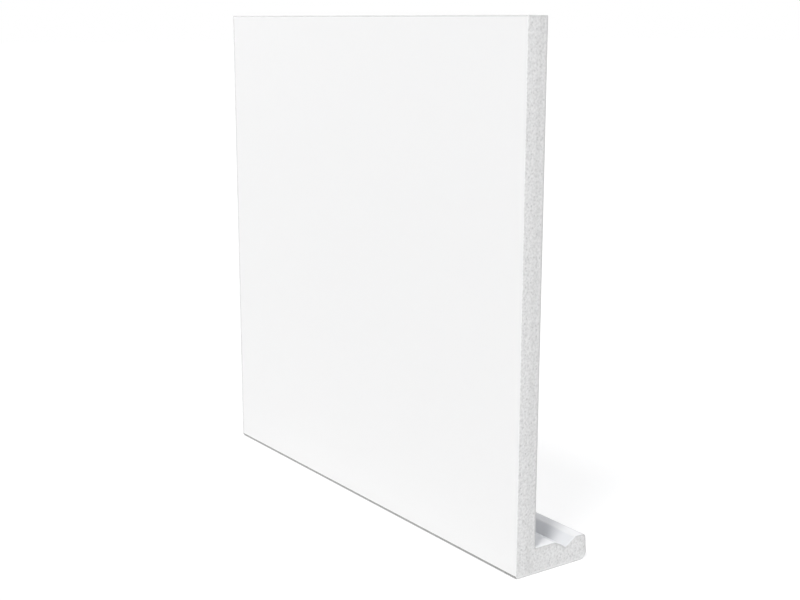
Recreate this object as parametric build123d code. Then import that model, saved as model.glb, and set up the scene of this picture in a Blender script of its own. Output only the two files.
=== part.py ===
from build123d import *
import os
from math import radians, tan

# A fascia board of cellular PVC: an upright board with a return leg behind its foot.
# Millimetres. X runs along the board, +Y from its front face to its back, +Z up.
# The origin is midway along the board and midway across it, at the underside.

# Board
board_length = 232.5
board_height = 225.0
board_thickness = 10.0

# Return leg, from the board's back face to its rear edge: seat, lead-in, groove, lip
leg_thickness = 11.2
seat_width = 10.7
lead_in_run = 3.9
lead_in_drop = 1.9
groove_front_run = 1.9
groove_rear_run = 5.7
groove_depth = 3.6
lip_width = 5.75
rear_face_lean = 5.0  # degrees off upright, the foot standing further out

# Rounded corners of the moulded section
top_edge_radius = 0.5
front_foot_radius = 1.0
rear_foot_radius = 3.2
lip_corner_radius = 1.8
inner_corner_radius = 0.5
seat_edge_radius = 0.8
lead_in_radius = 1.5
groove_bottom_radius = 1.0
lip_shoulder_radius = 0.8

# Distances from the front face, one after another across the leg
seat_rear = board_thickness + seat_width
groove_front = seat_rear + lead_in_run
groove_bottom = groove_front + groove_front_run
groove_rear = groove_bottom + groove_rear_run
lip_rear = groove_rear + lip_width
foot_rear = lip_rear + leg_thickness * tan(radians(rear_face_lean))


# The upright board, front face at zero and underside at zero
def board_outline():
    return Rectangle(board_thickness, board_height, align=(Align.MIN, Align.MIN))


# The leg is a bar under the board, its rear face leaning out towards the foot
def leg_outline():
    return Polygon(
        (0, 0),
        (foot_rear, 0),
        (lip_rear, leg_thickness),
        (0, leg_thickness),
        align=None,
    )


# The V groove between the seat and the lip, with a gentler lead-in beside the seat
def groove_outline():
    return Polygon(
        (seat_rear, leg_thickness),
        (groove_front, leg_thickness - lead_in_drop),
        (groove_bottom, leg_thickness - groove_depth),
        (groove_rear, leg_thickness),
        align=None,
    )


# Rounds the one corner of the outline that lies at a point
def round_corner(outline, point, radius):
    corner = outline.vertices().sort_by_distance(point)[0]
    return fillet(corner, radius)


# The whole section, with each corner at its own radius
def section():
    outline = board_outline() + leg_outline() - groove_outline()
    corners = [
        ((0, board_height), top_edge_radius),
        ((board_thickness, board_height), top_edge_radius),
        ((0, 0), front_foot_radius),
        ((foot_rear, 0), rear_foot_radius),
        ((lip_rear, leg_thickness), lip_corner_radius),
        ((board_thickness, leg_thickness), inner_corner_radius),
        ((seat_rear, leg_thickness), seat_edge_radius),
        ((groove_front, leg_thickness - lead_in_drop), lead_in_radius),
        ((groove_bottom, leg_thickness - groove_depth), groove_bottom_radius),
        ((groove_rear, leg_thickness), lip_shoulder_radius),
    ]
    for point, radius in corners:
        outline = round_corner(outline, point, radius)
    return outline


# The section runs the whole length, cut square at both ends
def fascia_board():
    board = extrude(Plane.YZ.offset(-board_length / 2) * section(), board_length)
    middle = board.bounding_box().center().Y
    return Pos(0, -middle, 0) * board


os.makedirs("parts", exist_ok=True)
export_step(fascia_board(), "parts/fascia_board.step")
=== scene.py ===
import math
import bpy
from mathutils import Matrix, Vector, geometry, kdtree, noise


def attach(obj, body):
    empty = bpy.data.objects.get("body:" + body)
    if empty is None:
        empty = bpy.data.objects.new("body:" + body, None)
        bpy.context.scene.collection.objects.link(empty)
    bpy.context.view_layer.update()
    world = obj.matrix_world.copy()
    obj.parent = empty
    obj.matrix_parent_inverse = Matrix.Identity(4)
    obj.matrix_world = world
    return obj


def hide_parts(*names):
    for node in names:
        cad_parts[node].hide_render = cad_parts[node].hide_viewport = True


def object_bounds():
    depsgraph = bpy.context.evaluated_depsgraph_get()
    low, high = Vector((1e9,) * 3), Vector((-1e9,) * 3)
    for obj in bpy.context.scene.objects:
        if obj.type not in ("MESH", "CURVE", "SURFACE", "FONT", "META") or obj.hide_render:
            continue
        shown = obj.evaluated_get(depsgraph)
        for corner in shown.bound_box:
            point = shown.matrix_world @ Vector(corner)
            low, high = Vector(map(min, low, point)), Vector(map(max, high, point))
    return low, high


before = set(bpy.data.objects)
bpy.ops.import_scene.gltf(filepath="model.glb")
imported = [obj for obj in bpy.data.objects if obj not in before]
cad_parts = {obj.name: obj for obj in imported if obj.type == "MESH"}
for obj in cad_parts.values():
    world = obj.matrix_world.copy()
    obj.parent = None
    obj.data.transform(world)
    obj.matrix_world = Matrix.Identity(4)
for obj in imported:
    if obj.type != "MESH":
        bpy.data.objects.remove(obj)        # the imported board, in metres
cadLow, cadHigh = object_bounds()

nodeName = "fascia_board"

# Length, height and front face come from the frame. Shapes are worked out in millimetres.
millimetre = 0.001
halfLength = cadHigh.x / millimetre
boardHeight = cadHigh.z / millimetre
frontFace = cadLow.y / millimetre

# The colour sockets of a Mix node, which has a set for each kind of value
mixShare = 0
mixFrom = 6
mixTo = 7
mixColour = 2

# Most of a noise texture's values lie between these
noiseLow = 0.3
noiseHigh = 0.7


# An sRGB hex colour as the linear one that a shader takes
def hexToLinear(text):
    channels = [int(text[i:i + 2], 16) / 255 for i in (1, 3, 5)]
    linear = [c / 12.92 if c <= 0.04045 else ((c + 0.055) / 1.055) ** 2.4 for c in channels]
    return (*linear, 1.0)


# Adds a node. A socket given another node's output is linked to it, and any other takes the value.
def addNode(tree, kind, settings=None, sockets=None):
    node = tree.nodes.new(kind)
    for name, value in (settings or {}).items():
        setattr(node, name, value)
    for name, value in (sockets or {}).items():
        if isinstance(value, bpy.types.NodeSocket):
            tree.links.new(value, node.inputs[name])
        else:
            node.inputs[name].default_value = value
    return node


# The node tree of a new material or world, with nothing in it
def emptyTree(holder):
    holder.use_nodes = True
    holder.node_tree.nodes.clear()
    return holder.node_tree


# From 0 at the low value to 1 at the high one, easing in and out
def smoothStep(low, high, value):
    t = min(1, max(0, (value - low) / (high - low)))
    return t * t * (3 - 2 * t)


# The moulded section in millimetres, as in the CAD
sectionSettings = {
    "thickness": 10.0,
    "legThickness": 11.2,
    "seatWidth": 10.7,
    "leadInRun": 3.9,
    "leadInDrop": 1.9,
    "grooveFrontRun": 1.9,
    "grooveRearRun": 5.7,
    "grooveDepth": 3.6,
    "lipWidth": 5.75,
    "rearFaceLean": 5.0,          # degrees
    "topEdgeRadius": 0.5,
    "frontFootRadius": 1.0,
    "rearFootRadius": 3.2,
    "lipCornerRadius": 1.8,
    "innerCornerRadius": 0.5,
    "seatEdgeRadius": 0.8,
    "leadInRadius": 1.5,
    "grooveBottomRadius": 1.0,
    "lipShoulderRadius": 0.8,
}

# How finely the board is meshed, in millimetres
meshSettings = {
    "ringStep": 0.42,             # along the section's outline
    "arcTurn": 12.0,              # degrees between points round a corner
    "guard": 0.12,                # flat strip that keeps a corner's shading off the flat beside it
    "skinStep": 8.0,              # along the board
    "easedEdge": 0.3,             # the saw's arris, rubbed down by hand
    "easedTurns": 3,
    "sawnFrom": 0.5,              # how far round the eased arris the skin ends and the foam shows
    "foamStep": 0.37,             # between points on a sawn end
    "foamJitter": 0.09,
    "jitterScale": 7.1,           # spreads the jitter's noise, so that neighbours differ
    "foamSeed": 7,                # without one, Blender takes the clock's, and each run differs
    "rimGap": 0.55,               # share of the foam step that points keep from the rim
    "mergeDistance": 1e-6,
}

# How much painted shade darkens the skin along its arrises and on the leg's top, from 0 for none to 1 for
# the foot's front arris
paintedShadeSettings = {
    "frontFoot": 1.0,
    "rearFoot": 0.3,
    "lipCorner": 0.25,
    "topEdge": 0.5,
    "seatEdge": 0.6,              # painted shade along the seat's rear edge
    "farCut": 0.4,
    "nearCut": 0.03,
    "cutBand": 1.8,               # millimetres in from a sawn end over which the painted edge shade fades out
    "cutBandRings": (0.42, 0.8, 1.3, 1.8),
    "seatShade": 0.4,              # share of the groove's painted shade that lies on the seat
    "shadeRise": 0.5,              # millimetres below the seat at which the groove's painted shade is full
    "shadeSlope": 0.5,             # least upward share of a face's normal that takes the groove's painted shade
}


# Corners of the section: depth behind the front face, height, radius, and how much painted shade darkens
# the arris
def sectionCorners():
    s = sectionSettings
    w = paintedShadeSettings
    seatRear = s["thickness"] + s["seatWidth"]
    grooveFront = seatRear + s["leadInRun"]
    grooveBottom = grooveFront + s["grooveFrontRun"]
    grooveRear = grooveBottom + s["grooveRearRun"]
    lipRear = grooveRear + s["lipWidth"]
    footRear = lipRear + s["legThickness"] * math.tan(math.radians(s["rearFaceLean"]))
    return [
        (0, 0, s["frontFootRadius"], w["frontFoot"]),
        (footRear, 0, s["rearFootRadius"], w["rearFoot"]),
        (lipRear, s["legThickness"], s["lipCornerRadius"], w["lipCorner"]),
        (grooveRear, s["legThickness"], s["lipShoulderRadius"], 0),
        (grooveBottom, s["legThickness"] - s["grooveDepth"], s["grooveBottomRadius"], 0),
        (grooveFront, s["legThickness"] - s["leadInDrop"], s["leadInRadius"], 0),
        (seatRear, s["legThickness"], s["seatEdgeRadius"], w["seatEdge"]),
        (s["thickness"], s["legThickness"], s["innerCornerRadius"], 0),
        (s["thickness"], boardHeight, s["topEdgeRadius"], w["topEdge"]),
        (0, boardHeight, s["topEdgeRadius"], w["topEdge"]),
    ]


# One rounded corner: its points and outward normals
def cornerArc(before, corner, after, radius):
    toBefore = (before - corner).normalized()
    toAfter = (after - corner).normalized()
    half = toBefore.angle(toAfter) / 2
    centre = corner + (toBefore + toAfter).normalized() * radius / math.sin(half)
    start = corner + toBefore * radius / math.tan(half) - centre
    end = corner + toAfter * radius / math.tan(half) - centre
    first = math.atan2(start.y, start.x)
    turn = (math.atan2(end.y, end.x) - first + math.pi) % (2 * math.pi) - math.pi
    outward = 1 if turn > 0 else -1
    steps = max(math.ceil(abs(math.degrees(turn)) / meshSettings["arcTurn"]),
                math.ceil(abs(turn) * radius / meshSettings["ringStep"]))
    points = []
    for i in range(steps + 1):
        arm = Vector((math.cos(first + turn * i / steps), math.sin(first + turn * i / steps)))
        points.append((centre + arm * radius, arm * outward))
    return points


# The flat between two corners, with a guard point near each end
def flatRun(start, end):
    direction = (end - start).normalized()
    normal = Vector((direction.y, -direction.x))
    guard = meshSettings["guard"]
    inner = (end - start).length - 2 * guard
    steps = max(1, math.ceil(inner / meshSettings["ringStep"]))
    return [(start + direction * (guard + inner * i / steps), normal) for i in range(steps + 1)]


# The whole outline: points, outward normals and the painted shade of each arris
def sectionOutline():
    corners = sectionCorners()
    places = [Vector(c[:2]) for c in corners]
    count = len(corners)
    arcs = [cornerArc(places[i - 1], places[i], places[(i + 1) % count], corners[i][2])
            for i in range(count)]
    outline = []
    for i, arc in enumerate(arcs):
        outline += [(p, n, corners[i][3]) for p, n in arc]
        outline += [(p, n, 0) for p, n in flatRun(arc[-1][0], arcs[(i + 1) % count][0][0])]
    return outline


# Rings of the section along the board: place along it, inset of the outline, share of the saw's relief
def skinRings():
    m = meshSettings
    eased = m["easedEdge"]
    nearEnd = []
    for i in range(m["easedTurns"] + 1):
        angle = math.pi / 2 * i / m["easedTurns"]
        nearEnd.append((halfLength - eased + eased * math.sin(angle), eased * (1 - math.cos(angle)),
                        i / m["easedTurns"]))
    # Rings near each sawn end carry the band of painted edge shade
    nearEnd = [(halfLength - d, 0, 0) for d in reversed(paintedShadeSettings["cutBandRings"])] + nearEnd
    flat = nearEnd[0][0]
    count = round(2 * flat / m["skinStep"])
    between = [(-flat + 2 * flat * i / count, 0, 0) for i in range(1, count)]
    farEnd = [(-x, inset, share) for x, inset, share in reversed(nearEnd)]
    return farEnd + between + nearEnd


# How much painted shade darkens the skin at a distance from the sawn end beside it
def cutEdgeShade(x):
    w = paintedShadeSettings
    edgeShade = w["farCut"] if x < 0 else w["nearCut"]
    return edgeShade * (1 - smoothStep(meshSettings["easedEdge"], w["cutBand"], halfLength - abs(x)))


# How much painted shade darkens the leg's top: most in the groove, some on the seat, none on the lip
def legShade(place, normal):
    s = sectionSettings
    w = paintedShadeSettings
    grooveStart = s["thickness"] + s["seatWidth"]
    grooveEnd = grooveStart + s["leadInRun"] + s["grooveFrontRun"] + s["grooveRearRun"]
    if place.x <= s["thickness"] or place.x >= grooveEnd or normal.y < w["shadeSlope"]:
        return 0
    groove = smoothStep(0, w["shadeRise"], s["legThickness"] - place.y)
    return max(groove, w["seatShade"]) if place.x < grooveStart else groove


# The relief of a sawn end, in millimetres
foamSettings = {
    "lumpSize": 1.4,
    "lumpHeight": 0.06,
    "grainSize": 0.65,
    "grainHeight": 0.04,
    "cellSize": 1.6,
    "cellRadius": 0.36,           # share of the cell size
    "cellDepth": 0.11,
    "skinDepth": 0.7,             # the dense rim, where the foam closes up
    "sawPitch": 1.7,
    "sawHeight": 0.012,
    "sawWander": 2.0,             # how far the foam's lumps turn the saw's marks aside, in radians
    "sawCentre": (-118.0, 96.0),  # depth and height of the blade's middle
    "breakout": 0.06,             # how unevenly the saw left the skin's edge
    "breakoutSize": 2.3,
    "backRimShadeWidth": 1.4,             # painted shade along the rim at the back and top
    "backRimShadeTowards": (0.8, 0.6),    # depth and height of the side where the painted shade lies
    "footRimLightWidth": 1.3,          # painted light along the rim at the foot
    "footRimLightTowards": (0.0, -1.0),
    "endApart": 9.0,              # how far the two ends' noise lies apart, so that they differ
}


# Noise from 0 to 1
def unitNoise(spot):
    return 0.5 + 0.5 * noise.noise(spot)


# How far a point of a sawn end lies below the saw's plane, and how open its cell is, which sets the painted
# shade in the cell's pit
def sawnRelief(place, inside, seed):
    f = foamSettings
    foam = smoothStep(0, f["skinDepth"], inside)
    spot = Vector((place.x, place.y, seed))
    lump = unitNoise(spot / f["lumpSize"])
    grain = unitNoise(spot / f["grainSize"])
    middle = noise.voronoi(spot / f["cellSize"])[0][0]
    cell = 1 - smoothStep(0, f["cellRadius"], middle)
    fromBlade = (place - Vector(f["sawCentre"])).length
    tooth = 0.5 + 0.5 * math.cos(2 * math.pi * fromBlade / f["sawPitch"] + f["sawWander"] * lump)
    edge = (1 - foam) * unitNoise(spot / f["breakoutSize"])
    depth = (foam * (f["lumpHeight"] * lump + f["grainHeight"] * grain + f["cellDepth"] * cell)
             + f["sawHeight"] * tooth + f["breakout"] * edge)
    return depth, foam * cell


# Points spread over a sawn end in shaken triangles, each with its distance from the outline
def foamPoints(outline, seed):
    m = meshSettings
    tree = kdtree.KDTree(len(outline))
    for i, (place, normal, edgeShade) in enumerate(outline):
        tree.insert((*place, 0), i)
    tree.balance()
    step = m["foamStep"]
    depthLimit = max(place.x for place, normal, edgeShade in outline)
    rowStep = step * math.sqrt(3) / 2
    points = []
    for row in range(int(boardHeight / rowStep) + 1):
        rowHeight = row * rowStep
        rowEnd = depthLimit if rowHeight < sectionSettings["legThickness"] else sectionSettings["thickness"]
        for column in range(int(rowEnd / step) + 1):
            spot = Vector(((column + 0.5 * (row % 2)) * step, rowHeight))
            shake = noise.noise_vector((spot.x * m["jitterScale"], spot.y * m["jitterScale"], seed))
            spot += Vector(shake[:2]) * m["foamJitter"]
            nearest = tree.find((*spot, 0))[1]
            place, normal, edgeShade = outline[nearest]
            inside = (place - spot).dot(normal)
            if inside > step * m["rimGap"] + m["easedEdge"]:
                points.append((spot, inside, normal))
    return points


# How far a sawn end counts as rim, near the sides of the section that face one way
def rimShare(normal, inside, towards, width):
    return max(0, normal.dot(Vector(towards))) * (1 - smoothStep(0, width, inside))


# The painted shade along a sawn end's back and top rim and the painted light along its foot, at one point
def rimValues(normal, inside):
    f = foamSettings
    return (rimShare(normal, inside, f["backRimShadeTowards"], f["backRimShadeWidth"]),
            rimShare(normal, inside, f["footRimLightTowards"], f["footRimLightWidth"]))


# What the materials read at each point of the board, in the order of the values that go with it: painted
# shade along the arrises, painted shade in the leg's groove, painted shade in the open cells' pits, painted
# shade along a sawn end's back and top rim, and painted light along its foot
pointValues = ("arrisShade", "legShade", "cellPitShade", "backRimShade", "footRimLight")

# The board's two materials, in the order in which it gets them
skinSlot = 0
sawnSlot = 1


# The skin's points ring by ring, each with its values
def skinPoints(outline, rings):
    points = []
    for x, inset, share in rings:
        seed = math.copysign(foamSettings["endApart"], x)
        for place, normal, edgeShade in outline:
            spot = place - normal * inset
            relief = sawnRelief(spot, 0, seed)[0] * share if share else 0
            point = (x - math.copysign(relief, x), frontFace + spot.x, spot.y)
            # The skin's values set painted shade along the arrises and in the groove
            values = (max(edgeShade, cutEdgeShade(x)), legShade(place, normal), 0, *rimValues(normal, 0))
            points.append((point, values))
    return points


# The skin's faces from each ring to the next, each with its material's slot
def skinFaces(rings, count):
    faces = []
    for ring in range(len(rings) - 1):
        share = max(rings[ring][2], rings[ring + 1][2])
        slot = sawnSlot if share > meshSettings["sawnFrom"] else skinSlot
        here = ring * count
        after = here + count
        for i in range(count):
            j = (i + 1) % count
            faces.append(((here + i, here + j, after + j, after + i), slot))
    return faces


# A sawn end, -1 for the far one and 1 for the near one: its own points, and the triangles that join
# them to the skin's last ring
def sawnEnd(outline, end, firstRim, firstInner):
    count = len(outline)
    seed = end * foamSettings["endApart"]
    inset = meshSettings["easedEdge"]
    insideOnly = 1           # what lies outside the rim is left out
    rim = [place - normal * inset for place, normal, edgeShade in outline]
    inner = foamPoints(outline, seed)
    flatPoints = rim + [spot for spot, inside, normal in inner]
    rimEdges = [(i, (i + 1) % count) for i in range(count)]
    flat = geometry.delaunay_2d_cdt(flatPoints, rimEdges, [], insideOnly, meshSettings["mergeDistance"])
    triangles, sources = flat[2:4]
    points = []
    for spot, inside, normal in inner:
        relief, cell = sawnRelief(spot, inside - inset, seed)
        point = (end * (halfLength - relief), frontFace + spot.x, spot.y)
        # Painted shade in the open cell's pit and along the rim, and painted light at the foot
        points.append((point, (0, 0, cell, *rimValues(normal, inside))))
    numbers = [*range(firstRim, firstRim + count), *range(firstInner, firstInner + len(inner))]
    faces = []
    for triangle in triangles:
        corners = [numbers[sources[v][0]] for v in triangle]
        faces.append((corners if end > 0 else corners[::-1], sawnSlot))
    return points, faces


# The board as one closed mesh: moulded skin, eased arrises and two sawn ends
def makeBoard():
    noise.seed_set(meshSettings["foamSeed"])
    outline = sectionOutline()
    count = len(outline)
    rings = skinRings()
    points = skinPoints(outline, rings)
    faces = skinFaces(rings, count)
    for end, firstRim in ((-1, 0), (1, (len(rings) - 1) * count)):
        endPoints, endFaces = sawnEnd(outline, end, firstRim, len(points))
        points += endPoints
        faces += endFaces
    mesh = bpy.data.meshes.new("fasciaBoard")
    mesh.from_pydata([Vector(point) * millimetre for point, values in points], [],
                     [corners for corners, slot in faces])
    mesh.polygons.foreach_set("material_index", [slot for corners, slot in faces])
    mesh.shade_smooth()
    for i, name in enumerate(pointValues):
        attribute = mesh.attributes.new(name, "FLOAT", "POINT")
        attribute.data.foreach_set("value", [values[i] for point, values in points])
    board = bpy.data.objects.new("fasciaBoard", mesh)
    bpy.context.scene.collection.objects.link(board)
    print("board:", len(points), "points,", len(faces), "faces")
    return board


# Cellular PVC, extruded and calibrated: a closed satin skin, flat to the eye, with faint lengthwise
# die lines and a very fine peel. Its arrises are darkened with painted shade, and painted shade
# lies in the leg's groove and on its seat
skinSettings = {
    "name": "cellular PVC, extruded satin skin",
    "colour": "#F5F5F5",
    # painted shade along the arrises
    "edgeShadeColour": "#9E9E9D",
    "roughness": 0.42,
    "roughnessSpread": 0.04,
    "ior": 1.53,
    "peelSize": 0.9,              # millimetres
    "peelHeight": 0.006,
    "dieLineWidth": 0.8,
    "dieLineLength": 500.0,
    "dieLineHeight": 0.006,
    "edgeShadeSize": 3.0,
    "leastEdgeShade": 0.85,            # share of the painted edge shade that its lightest patches show
    # painted shade in the leg's groove and on its seat
    "grooveShadeColour": "#E7E8EA",
    "grooveShadeSize": 2.5,
    "grooveShadeLength": 9.0,            # the painted shade is stretched into streaks along the groove
    "leastGrooveShade": 0.8,             # share of the painted shade that lies between the streaks
}


def makeSkin():
    s = skinSettings
    material = bpy.data.materials.new(s["name"])
    tree = emptyTree(material)
    place = addNode(tree, "ShaderNodeTexCoord").outputs["Object"]
    stretched = addNode(tree, "ShaderNodeVectorMath", {"operation": "MULTIPLY"}, {
        0: place, 1: (s["dieLineWidth"] / s["dieLineLength"], 1, 1)}).outputs[0]
    dieLines = addNode(tree, "ShaderNodeTexNoise", None, {
        "Vector": stretched, "Scale": 1 / (s["dieLineWidth"] * millimetre), "Detail": 2}).outputs["Fac"]
    peel = addNode(tree, "ShaderNodeTexNoise", None, {
        "Vector": place, "Scale": 1 / (s["peelSize"] * millimetre), "Detail": 2}).outputs["Fac"]
    lineBump = addNode(tree, "ShaderNodeBump", None, {
        "Height": dieLines, "Strength": 1, "Distance": s["dieLineHeight"] * millimetre}).outputs["Normal"]
    bump = addNode(tree, "ShaderNodeBump", None, {
        "Height": peel, "Strength": 1, "Distance": s["peelHeight"] * millimetre,
        "Normal": lineBump}).outputs["Normal"]
    # Painted shade along the arrises, broken into uneven patches
    arris = addNode(tree, "ShaderNodeAttribute", {"attribute_name": "arrisShade"}).outputs["Fac"]
    patches = addNode(tree, "ShaderNodeTexNoise", None, {
        "Vector": place, "Scale": 1 / (s["edgeShadeSize"] * millimetre), "Detail": 3}).outputs["Fac"]
    uneven = addNode(tree, "ShaderNodeMapRange", None, {
        "Value": patches, "From Min": noiseLow, "From Max": noiseHigh,
        "To Min": s["leastEdgeShade"], "To Max": 1.0}).outputs[0]
    edgeShade = addNode(tree, "ShaderNodeMath", {"operation": "MULTIPLY"}, {0: arris, 1: uneven}).outputs[0]
    edgeShaded = addNode(tree, "ShaderNodeMix", {"data_type": "RGBA"}, {
        mixShare: edgeShade, mixFrom: hexToLinear(s["colour"]),
        mixTo: hexToLinear(s["edgeShadeColour"])}).outputs[mixColour]
    # Painted shade in the leg's groove and on its seat, in streaks along the board
    grooveShadeMask = addNode(tree, "ShaderNodeAttribute", {"attribute_name": "legShade"}).outputs["Fac"]
    drawnOut = addNode(tree, "ShaderNodeVectorMath", {"operation": "MULTIPLY"}, {
        0: place, 1: (s["grooveShadeSize"] / s["grooveShadeLength"], 1, 1)}).outputs[0]
    shadeStreaks = addNode(tree, "ShaderNodeTexNoise", None, {
        "Vector": drawnOut, "Scale": 1 / (s["grooveShadeSize"] * millimetre), "Detail": 3}).outputs["Fac"]
    unevenShade = addNode(tree, "ShaderNodeMapRange", None, {
        "Value": shadeStreaks, "From Min": noiseLow, "From Max": noiseHigh,
        "To Min": s["leastGrooveShade"], "To Max": 1.0}).outputs[0]
    grooveShadeShare = addNode(tree, "ShaderNodeMath", {"operation": "MULTIPLY"}, {0: grooveShadeMask, 1: unevenShade}).outputs[0]
    colour = addNode(tree, "ShaderNodeMix", {"data_type": "RGBA"}, {
        mixShare: grooveShadeShare, mixFrom: edgeShaded, mixTo: hexToLinear(s["grooveShadeColour"])}).outputs[mixColour]
    roughness = addNode(tree, "ShaderNodeMapRange", None, {
        "Value": peel, "From Min": noiseLow, "From Max": noiseHigh,
        "To Min": s["roughness"] - s["roughnessSpread"],
        "To Max": s["roughness"] + s["roughnessSpread"]}).outputs[0]
    surface = addNode(tree, "ShaderNodeBsdfPrincipled", None, {
        "Base Color": colour, "Roughness": roughness, "IOR": s["ior"], "Normal": bump}).outputs[0]
    addNode(tree, "ShaderNodeOutputMaterial", None, {"Surface": surface})
    return material


# Cellular PVC, sawn: the cut opens the foam, so it is matt and a little greyer than the skin,
# speckled by open cells whose pits carry painted shade, with painted shade along the back and top rim and
# painted light along the foot
sawnSettings = {
    "name": "cellular PVC, sawn foam",
    "paleColour": "#F8F8F8",
    "darkColour": "#E4E4E4",
    # painted shade in the open cells' pits
    "pitShadeColour": "#CACACA",
    # painted shade along the rim at the back and top
    "backRimShadeColour": "#CECECE",
    # painted light along the rim at the foot
    "footRimLightColour": "#FDFDFD",
    "coarseColour": "#F8F8F8",    # times the body colour, where the core's cells are largest
    "coarseDepth": 7.0,           # millimetres behind the front face
    "coarseWidth": 3.5,
    "roughness": 0.85,
    "ior": 1.53,
    "specular": 0.25,             # half the usual, because the cells' mouths trap most of the shine
    "speckleSize": 1.0,           # millimetres; the real cells of 0.1 to 0.3 are drawn this coarse to show
    "speckleDark": 0.35,          # noise values at which the speckle is darkest and palest
    "specklePale": 0.65,
    "poreSize": 0.35,
    "poreHeight": 0.03,
}


def makeSawn():
    s = sawnSettings
    material = bpy.data.materials.new(s["name"])
    tree = emptyTree(material)
    place = addNode(tree, "ShaderNodeTexCoord").outputs["Object"]
    speckle = addNode(tree, "ShaderNodeTexNoise", None, {
        "Vector": place, "Scale": 1 / (s["speckleSize"] * millimetre), "Detail": 3}).outputs["Fac"]
    pale = addNode(tree, "ShaderNodeMapRange", None, {
        "Value": speckle, "From Min": s["speckleDark"], "From Max": s["specklePale"]}).outputs[0]
    body = addNode(tree, "ShaderNodeMix", {"data_type": "RGBA"}, {
        mixShare: pale, mixFrom: hexToLinear(s["darkColour"]),
        mixTo: hexToLinear(s["paleColour"])}).outputs[mixColour]
    depth = addNode(tree, "ShaderNodeSeparateXYZ", None, {0: place}).outputs["Y"]
    offCore = addNode(tree, "ShaderNodeMath", {"operation": "SUBTRACT"}, {
        0: depth, 1: cadLow.y + s["coarseDepth"] * millimetre}).outputs[0]
    fromCore = addNode(tree, "ShaderNodeMath", {"operation": "ABSOLUTE"}, {0: offCore}).outputs[0]
    coarse = addNode(tree, "ShaderNodeMapRange", {"interpolation_type": "SMOOTHSTEP"}, {
        "Value": fromCore, "From Max": s["coarseWidth"] * millimetre, "To Min": 1, "To Max": 0}).outputs[0]
    core = addNode(tree, "ShaderNodeMix", {"data_type": "RGBA", "blend_type": "MULTIPLY"}, {
        mixShare: coarse, mixFrom: body, mixTo: hexToLinear(s["coarseColour"])}).outputs[mixColour]
    # Painted shade in the open cells' pits
    cellPitShade = addNode(tree, "ShaderNodeAttribute", {"attribute_name": "cellPitShade"}).outputs["Fac"]
    pitted = addNode(tree, "ShaderNodeMix", {"data_type": "RGBA"}, {
        mixShare: cellPitShade, mixFrom: core, mixTo: hexToLinear(s["pitShadeColour"])}).outputs[mixColour]
    # Painted shade along the rim at the back and top
    backRimShadeMask = addNode(tree, "ShaderNodeAttribute", {"attribute_name": "backRimShade"}).outputs["Fac"]
    backRimShaded = addNode(tree, "ShaderNodeMix", {"data_type": "RGBA"}, {
        mixShare: backRimShadeMask, mixFrom: pitted, mixTo: hexToLinear(s["backRimShadeColour"])}).outputs[mixColour]
    # Painted light along the rim at the foot
    footRimLightMask = addNode(tree, "ShaderNodeAttribute", {"attribute_name": "footRimLight"}).outputs["Fac"]
    colour = addNode(tree, "ShaderNodeMix", {"data_type": "RGBA"}, {
        mixShare: footRimLightMask, mixFrom: backRimShaded, mixTo: hexToLinear(s["footRimLightColour"])}).outputs[mixColour]
    pores = addNode(tree, "ShaderNodeTexNoise", None, {
        "Vector": place, "Scale": 1 / (s["poreSize"] * millimetre), "Detail": 2}).outputs["Fac"]
    bump = addNode(tree, "ShaderNodeBump", None, {
        "Height": pores, "Strength": 1, "Distance": s["poreHeight"] * millimetre}).outputs["Normal"]
    surface = addNode(tree, "ShaderNodeBsdfPrincipled", None, {
        "Base Color": colour, "Roughness": s["roughness"], "IOR": s["ior"],
        "Specular IOR Level": s["specular"], "Normal": bump}).outputs[0]
    addNode(tree, "ShaderNodeOutputMaterial", None, {"Surface": surface})
    return material


# The way towards a light, from its height above the floor and its turn round from the front face's
# own normal towards the near end, in degrees
def wayTo(height, turn):
    h = math.radians(height)
    t = math.radians(turn)
    return Vector((math.sin(t) * math.cos(h), -math.cos(t) * math.cos(h), math.sin(h)))


# What sees the backdrop as white: the camera, and rays that gloss or glass sends on
def backdropRays(tree):
    path = addNode(tree, "ShaderNodeLightPath").outputs
    seen = addNode(tree, "ShaderNodeMath", {"operation": "MAXIMUM"}, {
        0: path["Is Camera Ray"], 1: path["Is Glossy Ray"]}).outputs[0]
    return addNode(tree, "ShaderNodeMath", {"operation": "MAXIMUM"}, {
        0: seen, 1: path["Is Transmission Ray"]}).outputs[0]


# Plain pale paper floor: white to the camera, with a faint shadow left in it
floorSettings = {
    "name": "matt white paper",
    "halfWidth": 12.0,            # metres
    "drop": 0.0001,
    "glow": 0.84,                 # the even white share of what the camera sees
    "shadowColour": "#848484",    # the share that takes light and shadow
    "bounceColour": "#B0B0B0",
    "creviceReach": 1.6,          # millimetres; the floor darkens where the front foot covers it this close
    "creviceLevel": 0.25,
    "creviceHeight": 45.0,        # degrees; it looks up and back under the foot for what covers it
    "creviceTurn": 180.0,
    "creviceShut": 0.1,           # shares of open view at which it is darkest and back to white
    "creviceOpen": 0.6,
    "creviceSamples": 8,
}


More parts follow.
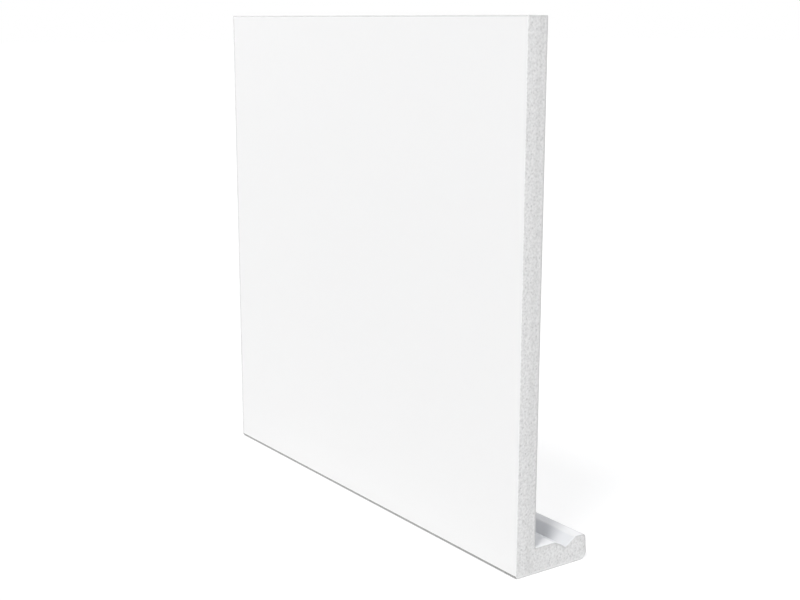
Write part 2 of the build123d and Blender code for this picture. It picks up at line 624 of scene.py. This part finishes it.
def makeFloor():
    f = floorSettings
    material = bpy.data.materials.new(f["name"])
    tree = emptyTree(material)
    bounce = addNode(tree, "ShaderNodeBsdfDiffuse", None, {
        "Color": hexToLinear(f["bounceColour"])}).outputs[0]
    lit = addNode(tree, "ShaderNodeBsdfDiffuse", None, {
        "Color": hexToLinear(f["shadowColour"])}).outputs[0]
    openness = addNode(tree, "ShaderNodeAmbientOcclusion", {"samples": f["creviceSamples"]}, {
        "Distance": f["creviceReach"] * millimetre,
        "Normal": wayTo(f["creviceHeight"], f["creviceTurn"])}).outputs["AO"]
    crevice = addNode(tree, "ShaderNodeMapRange", None, {
        "Value": openness, "From Min": f["creviceShut"], "From Max": f["creviceOpen"],
        "To Min": f["creviceLevel"] * f["glow"], "To Max": f["glow"]}).outputs[0]
    glow = addNode(tree, "ShaderNodeEmission", None, {"Strength": crevice}).outputs[0]
    pale = addNode(tree, "ShaderNodeAddShader", None, {0: glow, 1: lit}).outputs[0]
    shown = addNode(tree, "ShaderNodeMixShader", None, {
        0: backdropRays(tree), 1: bounce, 2: pale}).outputs[0]
    addNode(tree, "ShaderNodeOutputMaterial", None, {"Surface": shown})
    half = f["halfWidth"]
    mesh = bpy.data.meshes.new("paperFloor")
    mesh.from_pydata([(x * half, y * half, -f["drop"]) for x, y in ((-1, -1), (1, -1), (1, 1), (-1, 1))],
                     [], [(0, 1, 2, 3)])
    mesh.materials.append(material)
    floor = bpy.data.objects.new("paperFloor", mesh)
    bpy.context.scene.collection.objects.link(floor)


# The fill is one broad soft light before the board, and the backdrop is plain white
worldSettings = {
    "name": "studio",
    "fillLevel": 2.16,            # at its middle
    "fillHeight": 6.0,
    "fillTurn": -10.0,
    "fillPower": 3.0,             # how fast it falls off from its middle
    "fillColour": "#FFFFFF",
    "backdropColour": "#FFFFFF",
}


def makeWorld():
    s = worldSettings
    world = bpy.data.worlds.new(s["name"])
    tree = emptyTree(world)
    direction = addNode(tree, "ShaderNodeTexCoord").outputs["Generated"]
    towards = addNode(tree, "ShaderNodeVectorMath", {"operation": "DOT_PRODUCT"}, {
        0: direction, 1: wayTo(s["fillHeight"], s["fillTurn"])}).outputs["Value"]
    facing = addNode(tree, "ShaderNodeMath", {"operation": "MAXIMUM"}, {0: towards, 1: 0}).outputs[0]
    falloff = addNode(tree, "ShaderNodeMath", {"operation": "POWER"}, {
        0: facing, 1: s["fillPower"]}).outputs[0]
    strength = addNode(tree, "ShaderNodeMath", {"operation": "MULTIPLY"}, {
        0: falloff, 1: s["fillLevel"]}).outputs[0]
    fill = addNode(tree, "ShaderNodeBackground", None, {
        "Color": hexToLinear(s["fillColour"]), "Strength": strength}).outputs[0]
    backdrop = addNode(tree, "ShaderNodeBackground", None, {
        "Color": hexToLinear(s["backdropColour"]), "Strength": 1}).outputs[0]
    shown = addNode(tree, "ShaderNodeMixShader", None, {
        0: backdropRays(tree), 1: fill, 2: backdrop}).outputs[0]
    addNode(tree, "ShaderNodeOutputWorld", None, {"Surface": shown})
    bpy.context.scene.world = world


# Soft studio lamps. A level of 1 lights a white surface that faces the lamp to white, and the spread
# is how wide the lamp looks. Angles are in degrees.
lampSettings = {
    "key": {"level": 0.56, "height": 59.0, "turn": 28.0, "spread": 12.0, "colour": "#FFFFFF"},
    "nearSide": {"level": 0.515, "height": 6.0, "turn": 90.0, "spread": 25.0, "colour": "#FFFFFF"},
    "farSide": {"level": 0.29, "height": 6.0, "turn": 270.0, "spread": 25.0, "colour": "#FFFFFF"},
    "rear": {"level": 0.47, "height": 25.0, "turn": 187.0, "spread": 25.0, "colour": "#F5F8FF"},
}


def makeLamps():
    for name, s in lampSettings.items():
        lamp = bpy.data.lights.new(name + "Lamp", "SUN")
        lamp.energy = math.pi * s["level"]
        lamp.angle = math.radians(s["spread"])
        lamp.color = hexToLinear(s["colour"])[:3]
        light = bpy.data.objects.new(name + "Lamp", lamp)
        towards = wayTo(s["height"], s["turn"])
        light.rotation_mode = "QUATERNION"
        light.rotation_quaternion = towards.to_track_quat("Z", "Y")
        light.location = towards
        bpy.context.scene.collection.objects.link(light)


# The photograph's camera: a pinhole fitted to the board's straight edges
cameraSettings = {
    "imageWidth": 800,
    "focalPixels": 1306.5,
    "sensorWidth": 36.0,
    "turn": -54.897,              # degrees, from +Y towards +X
    "dip": 12.077,
    "roll": 0.104,
    "fromNearCorner": (379.46, -324.77, 222.86),  # millimetres from the near bottom front corner
}


def makeCamera():
    s = cameraSettings
    turn = math.radians(s["turn"])
    dip = math.radians(s["dip"])
    roll = math.radians(s["roll"])
    ahead = Vector((math.sin(turn) * math.cos(dip), math.cos(turn) * math.cos(dip), -math.sin(dip)))
    levelRight = Vector((math.cos(turn), -math.sin(turn), 0))
    levelDown = ahead.cross(levelRight)
    right = levelRight * math.cos(roll) - levelDown * math.sin(roll)
    down = levelRight * math.sin(roll) + levelDown * math.cos(roll)
    lens = bpy.data.cameras.new("photoCamera")
    lens.sensor_width = s["sensorWidth"]
    lens.lens = s["focalPixels"] / s["imageWidth"] * s["sensorWidth"]
    camera = bpy.data.objects.new("photoCamera", lens)
    nearCorner = Vector((cadHigh.x, cadLow.y, cadLow.z))
    place = nearCorner + Vector(s["fromNearCorner"]) * millimetre
    camera.matrix_world = Matrix.Translation(place) @ Matrix((right, -down, -ahead)).transposed().to_4x4()
    bpy.context.scene.collection.objects.link(camera)
    bpy.context.scene.camera = camera


makeCamera()
makeWorld()
makeLamps()
makeFloor()
print("stage: camera, world, lamps and floor are in place")

board = makeBoard()
board.data.materials.append(makeSkin())
board.data.materials.append(makeSawn())
print("materials: the skin and the sawn foam are made")
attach(board, "root")
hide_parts(nodeName)
print("board: dressed, and it stands for", nodeName)

bpy.context.scene.view_settings.view_transform = "Standard"
